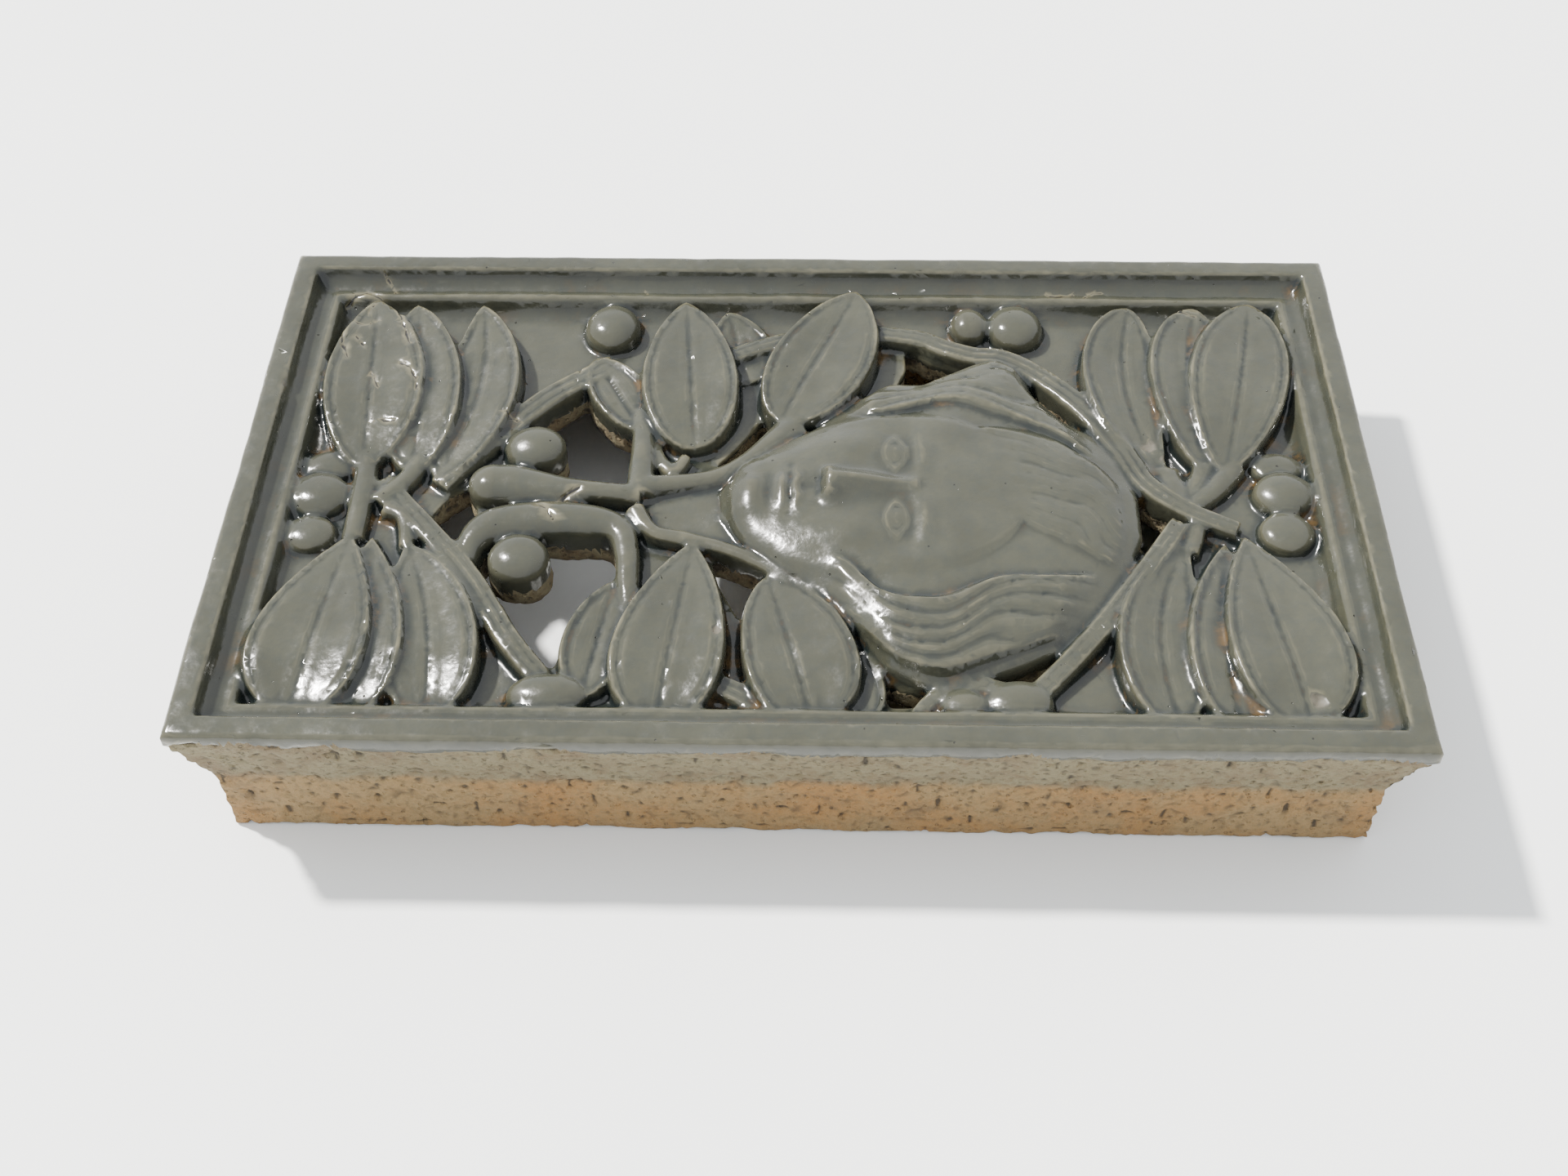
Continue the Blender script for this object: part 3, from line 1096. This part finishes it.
class Nodes:
    """A small helper that lays out shader nodes and joins them."""

    def __init__(self, name: str) -> None:
        """Start a material with its shader.

        Args:
            name: The material's name.
        """
        self.material = bpy.data.materials.new(name)
        self.material.use_nodes = True
        self.tree = self.material.node_tree
        self.shader = self.tree.nodes["Principled BSDF"]

    def add(self, kind: str, **settings) -> bpy.types.Node:
        """A new node with its own settings."""
        node = self.tree.nodes.new(kind)
        for key, value in settings.items():
            setattr(node, key, value)
        return node

    def join(self, source: bpy.types.NodeSocket, target: bpy.types.NodeSocket) -> None:
        """Link one socket to another."""
        self.tree.links.new(source, target)

    def attribute(self, name: str) -> bpy.types.NodeSocket:
        """The value of a named attribute of the piece."""
        return self.add("ShaderNodeAttribute", attribute_name=name).outputs["Fac"]

    def place(self) -> bpy.types.NodeSocket:
        """Object coordinates, in metres."""
        return self.add("ShaderNodeTexCoord").outputs["Object"]

    def noise(self, size: float, detail: float = 3.0, rough: float = 0.5) -> bpy.types.NodeSocket:
        """Noise with lumps of a size in millimetres."""
        node = self.add("ShaderNodeTexNoise")
        node.inputs["Scale"].default_value = 1 / (size * MM)
        node.inputs["Detail"].default_value = detail
        node.inputs["Roughness"].default_value = rough
        self.join(self.place(), node.inputs["Vector"])
        return node.outputs["Fac"]

    def specks(self, size: float) -> bpy.types.NodeSocket:
        """The distance to the nearest of scattered points, a size in millimetres apart."""
        node = self.add("ShaderNodeTexVoronoi")
        node.inputs["Scale"].default_value = 1 / (size * MM)
        self.join(self.place(), node.inputs["Vector"])
        return node.outputs["Distance"]

    def span(self, source: bpy.types.NodeSocket, low: float, high: float,
             to_low: float = 0.0, to_high: float = 1.0) -> bpy.types.NodeSocket:
        """Stretch a value from one span to another, held within it."""
        node = self.add("ShaderNodeMapRange")
        self.join(source, node.inputs["Value"])
        for key, value in (("From Min", low), ("From Max", high), ("To Min", to_low), ("To Max", to_high)):
            node.inputs[key].default_value = value
        return node.outputs["Result"]

    def sum(self, kind: str, a: bpy.types.NodeSocket,
            b: bpy.types.NodeSocket | float) -> bpy.types.NodeSocket:
        """One step of arithmetic on two values."""
        node = self.add("ShaderNodeMath", operation=kind)
        self.join(a, node.inputs[0])
        if isinstance(b, float):
            node.inputs[1].default_value = b
        else:
            self.join(b, node.inputs[1])
        return node.outputs[0]

    def blend(self, share: bpy.types.NodeSocket, a: bpy.types.NodeSocket | tuple,
              b: bpy.types.NodeSocket | tuple) -> bpy.types.NodeSocket:
        """Mix two colours by a share."""
        node = self.add("ShaderNodeMix", data_type="RGBA")
        self.join(share, node.inputs["Factor"])
        for socket, value in ((node.inputs[6], a), (node.inputs[7], b)):
            if isinstance(value, tuple):
                socket.default_value = (*value, 1.0)
            else:
                self.join(value, socket)
        return node.outputs[2]

    def relief(self, heights: list[tuple[bpy.types.NodeSocket, float]]) -> bpy.types.NodeSocket:
        """Bumps worked one into the next, each a height and its depth in millimetres."""
        normal = None
        for height, depth in heights:
            node = self.add("ShaderNodeBump")
            node.inputs["Distance"].default_value = depth * MM
            self.join(height, node.inputs["Height"])
            if normal is not None:
                self.join(normal, node.inputs["Normal"])
            normal = node.outputs["Normal"]
        return normal


@dataclass(frozen=True)
class Glaze:
    """Thick grey-green glaze, darker where it pools, paler where it runs thin over edges."""

    thick: tuple = (0.043, 0.0435, 0.03)
    deep: tuple = (0.005, 0.0075, 0.0075)
    thin: tuple = (0.15, 0.135, 0.082)
    cool: tuple = (0.025, 0.03, 0.028)
    dirt: tuple = (0.075, 0.044, 0.014)
    dark: tuple = (0.012, 0.011, 0.01)
    gritty: tuple = (0.085, 0.076, 0.056)

    def colour(self, n: Nodes) -> bpy.types.NodeSocket:
        """The glaze's colour over the piece."""
        near, wide = n.attribute("near_hollow"), n.attribute("wide_hollow")
        cloud = n.span(n.noise(30.0, 4.0, 0.6), 0.38, 0.62)
        base = n.blend(cloud, self.thick, tuple(0.76 * c for c in self.thick))
        base = n.blend(n.span(n.noise(5.0, 5.0, 0.7), 0.42, 0.72, 0.0, 0.4), base, self.cool)
        crest = n.sum("MULTIPLY", n.span(near, -0.14, -0.7), n.span(n.noise(5.0, 3.0), 0.34, 0.6, 0.35, 1.0))
        base = n.blend(n.sum("MULTIPLY", crest, 0.75), base, self.thin)
        base = n.blend(n.span(wide, 0.02, 0.42, 0.0, 0.8), base, self.deep)
        base = n.blend(n.span(near, 0.06, 0.6, 0.0, 0.88), base, self.deep)
        stain = n.sum("MULTIPLY", n.span(wide, 0.1, 0.36), n.span(n.noise(15.0, 4.0, 0.7), 0.53, 0.66))
        base = n.blend(n.sum("MULTIPLY", stain, 0.7), base, self.dirt)
        base = n.blend(n.span(n.attribute("crack"), 0.05, 0.35, 0.0, 0.5), base, self.thin)
        base = n.blend(n.span(n.attribute("crack"), 0.4, 0.8), base, self.dark)
        base = n.blend(n.span(n.attribute("chipped"), 0.1, 0.6, 0.0, 0.85), base, self.gritty)
        pin = n.span(n.specks(7.5), 0.025, 0.055, 1.0, 0.0)
        return n.blend(n.sum("MULTIPLY", pin, 0.9), base, self.dark)

    def dress(self, n: Nodes, colour: bpy.types.NodeSocket) -> None:
        """Set the glaze's colour, gloss and skin."""
        n.join(colour, n.shader.inputs["Base Color"])
        dull = n.span(n.noise(11.0, 5.0, 0.7), 0.42, 0.75, 0.13, 0.36)
        rough = n.sum("ADD", dull, n.span(n.attribute("chipped"), 0.1, 0.6, 0.0, 0.5))
        n.join(rough, n.shader.inputs["Roughness"])
        n.shader.inputs["IOR"].default_value = 1.47
        ripple = n.noise(5.0, 2.0)
        skin = n.noise(1.1, 2.0)
        pin = n.span(n.specks(7.5), 0.025, 0.06)
        n.join(n.relief([(ripple, 0.16), (skin, 0.03), (pin, 0.3)]), n.shader.inputs["Normal"])

    def material(self) -> bpy.types.Material:
        """The glaze as a material."""
        n = Nodes("grey_green_glaze")
        self.dress(n, self.colour(n))
        return n.material


@dataclass(frozen=True)
class BareClay:
    """Coarse fired clay, tan to orange low down and greyer under the rim."""

    tan: tuple = (0.27, 0.18, 0.078)
    orange: tuple = (0.29, 0.155, 0.05)
    brown: tuple = (0.13, 0.088, 0.046)
    grey: tuple = (0.185, 0.158, 0.09)
    soot: tuple = (0.035, 0.027, 0.018)

    def material(self) -> bpy.types.Material:
        """The clay as a material."""
        n = Nodes("bare_clay")
        split = n.add("ShaderNodeSeparateXYZ")
        n.join(n.place(), split.inputs[0])
        level = n.sum("ADD", split.outputs["Z"], n.span(n.noise(12.0, 4.0, 0.6), 0.3, 0.7, -2 * MM, 2 * MM))
        warm = n.blend(n.span(n.noise(34.0, 5.0, 0.65), 0.42, 0.62), self.tan, self.orange)
        warm = n.blend(n.span(n.noise(21.0, 5.0, 0.7), 0.54, 0.7, 0.0, 0.7), warm, self.brown)
        high = n.span(level, (SIZES.ledge_z - 1.5) * MM, (SIZES.ledge_z + 2.5) * MM)
        stained = n.blend(n.span(n.noise(17.0, 5.0, 0.7), 0.46, 0.64, 0.0, 0.75), self.grey, self.brown)
        base = n.blend(high, warm, stained)
        dark, pale = tuple(0.5 * c for c in self.tan), tuple(1.35 * c for c in self.grey)
        base = n.blend(n.span(n.noise(2.4, 5.0, 0.75), 0.46, 0.72, 0.0, 0.7), base, dark)
        base = n.blend(n.span(n.noise(0.9, 3.0, 0.7), 0.56, 0.75, 0.0, 0.6), base, pale)
        base = n.blend(n.span(n.attribute("near_hollow"), 0.1, 0.7, 0.0, 0.85), base, self.soot)
        n.join(base, n.shader.inputs["Base Color"])
        n.shader.inputs["Roughness"].default_value = 0.92
        coarse, fine = n.noise(2.6, 6.0, 0.75), n.noise(0.7, 3.0, 0.6)
        pits = n.span(n.specks(2.4), 0.12, 0.3)
        n.join(n.relief([(coarse, 1.3), (fine, 0.35), (pits, 0.6)]), n.shader.inputs["Normal"])
        return n.material


@dataclass
class Studio:
    """The pale floor, the soft light and the camera at the photograph's viewing angle."""

    eye: tuple = (0.0074, -0.4272, 0.506)
    yaw: float = -1.889
    pitch: float = 49.82
    roll: float = 0.832
    focal: float = 2269.0 / 1920.0 * CAMERA_SENSOR
    light_way: tuple = (43.0, -22.0, -60.0)

    def floor(self) -> None:
        """A wide plain floor, well past the camera's view."""
        bm = bmesh.new()
        bmesh.ops.create_grid(bm, x_segments=1, y_segments=1, size=FLOOR_HALF)
        floor = linked("floor", taken(bm, "floor"))
        n = Nodes("pale_floor")
        shade = n.blend(n.span(n.noise(160.0, 2.0), 0.3, 0.7), (0.86, 0.875, 0.87), (0.89, 0.9, 0.895))
        n.join(shade, n.shader.inputs["Base Color"])
        n.shader.inputs["Roughness"].default_value = 0.7
        floor.data.materials.append(n.material)

    def camera(self) -> None:
        """The camera where the photograph was taken from."""
        yaw, pitch, roll = (math.radians(a) for a in (self.yaw, self.pitch, self.roll))
        ahead = Vector((math.sin(yaw) * math.cos(pitch), math.cos(yaw) * math.cos(pitch), -math.sin(pitch)))
        right = Vector((math.cos(yaw), -math.sin(yaw), 0.0))
        down = ahead.cross(right)
        across = math.cos(roll) * right + math.sin(roll) * down
        below = math.cos(roll) * down - math.sin(roll) * right
        data = bpy.data.cameras.new("camera")
        data.lens = self.focal
        data.sensor_width = CAMERA_SENSOR
        camera = bpy.data.objects.new("camera", data)
        bpy.context.scene.collection.objects.link(camera)
        camera.matrix_world = Matrix((
            (across.x, -below.x, -ahead.x, self.eye[0]),
            (across.y, -below.y, -ahead.y, self.eye[1]),
            (across.z, -below.z, -ahead.z, self.eye[2]),
            (0, 0, 0, 1)))
        bpy.context.scene.camera = camera

    def lights(self) -> None:
        """One strong soft light from behind on the left, and a pale sky."""
        way = Vector(self.light_way).normalized()
        sun = bpy.data.lights.new("key", "SUN")
        sun.energy = 11.5
        sun.angle = math.radians(4.0)
        sun.color = (1.0, 0.975, 0.93)
        lamp = bpy.data.objects.new("key", sun)
        lamp.rotation_mode = "QUATERNION"
        lamp.rotation_quaternion = way.to_track_quat("-Z", "Y")
        bpy.context.scene.collection.objects.link(lamp)
        world = bpy.data.worlds.new("sky")
        world.use_nodes = True
        world.node_tree.nodes["Background"].inputs["Color"].default_value = (0.95, 0.975, 1.0, 1.0)
        world.node_tree.nodes["Background"].inputs["Strength"].default_value = 1.75
        bpy.context.scene.world = world

    def build(self) -> None:
        """Set up the whole studio."""
        self.floor()
        self.camera()
        self.lights()
        LOG.info("studio: floor, camera and lights")


def main() -> None:
    """Load the frame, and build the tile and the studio."""
    logging.basicConfig(level=logging.INFO)
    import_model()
    Studio().build()
    tile = Tile().build()
    tile.data.materials.clear()
    tile.data.materials.append(Glaze().material())
    tile.data.materials.append(BareClay().material())
    bare = np.empty(len(tile.data.vertices), dtype=np.float32)
    tile.data.attributes["bare"].data.foreach_get("value", bare)
    corners = np.empty(len(tile.data.loops), dtype=np.int32)
    tile.data.loops.foreach_get("vertex_index", corners)
    finish = (bare[corners].reshape(-1, 3).mean(axis=1) > 0.5).astype(np.int32)
    tile.data.polygons.foreach_set("material_index", finish)
    tile.data.update()


if __name__ == "__main__":
    main()
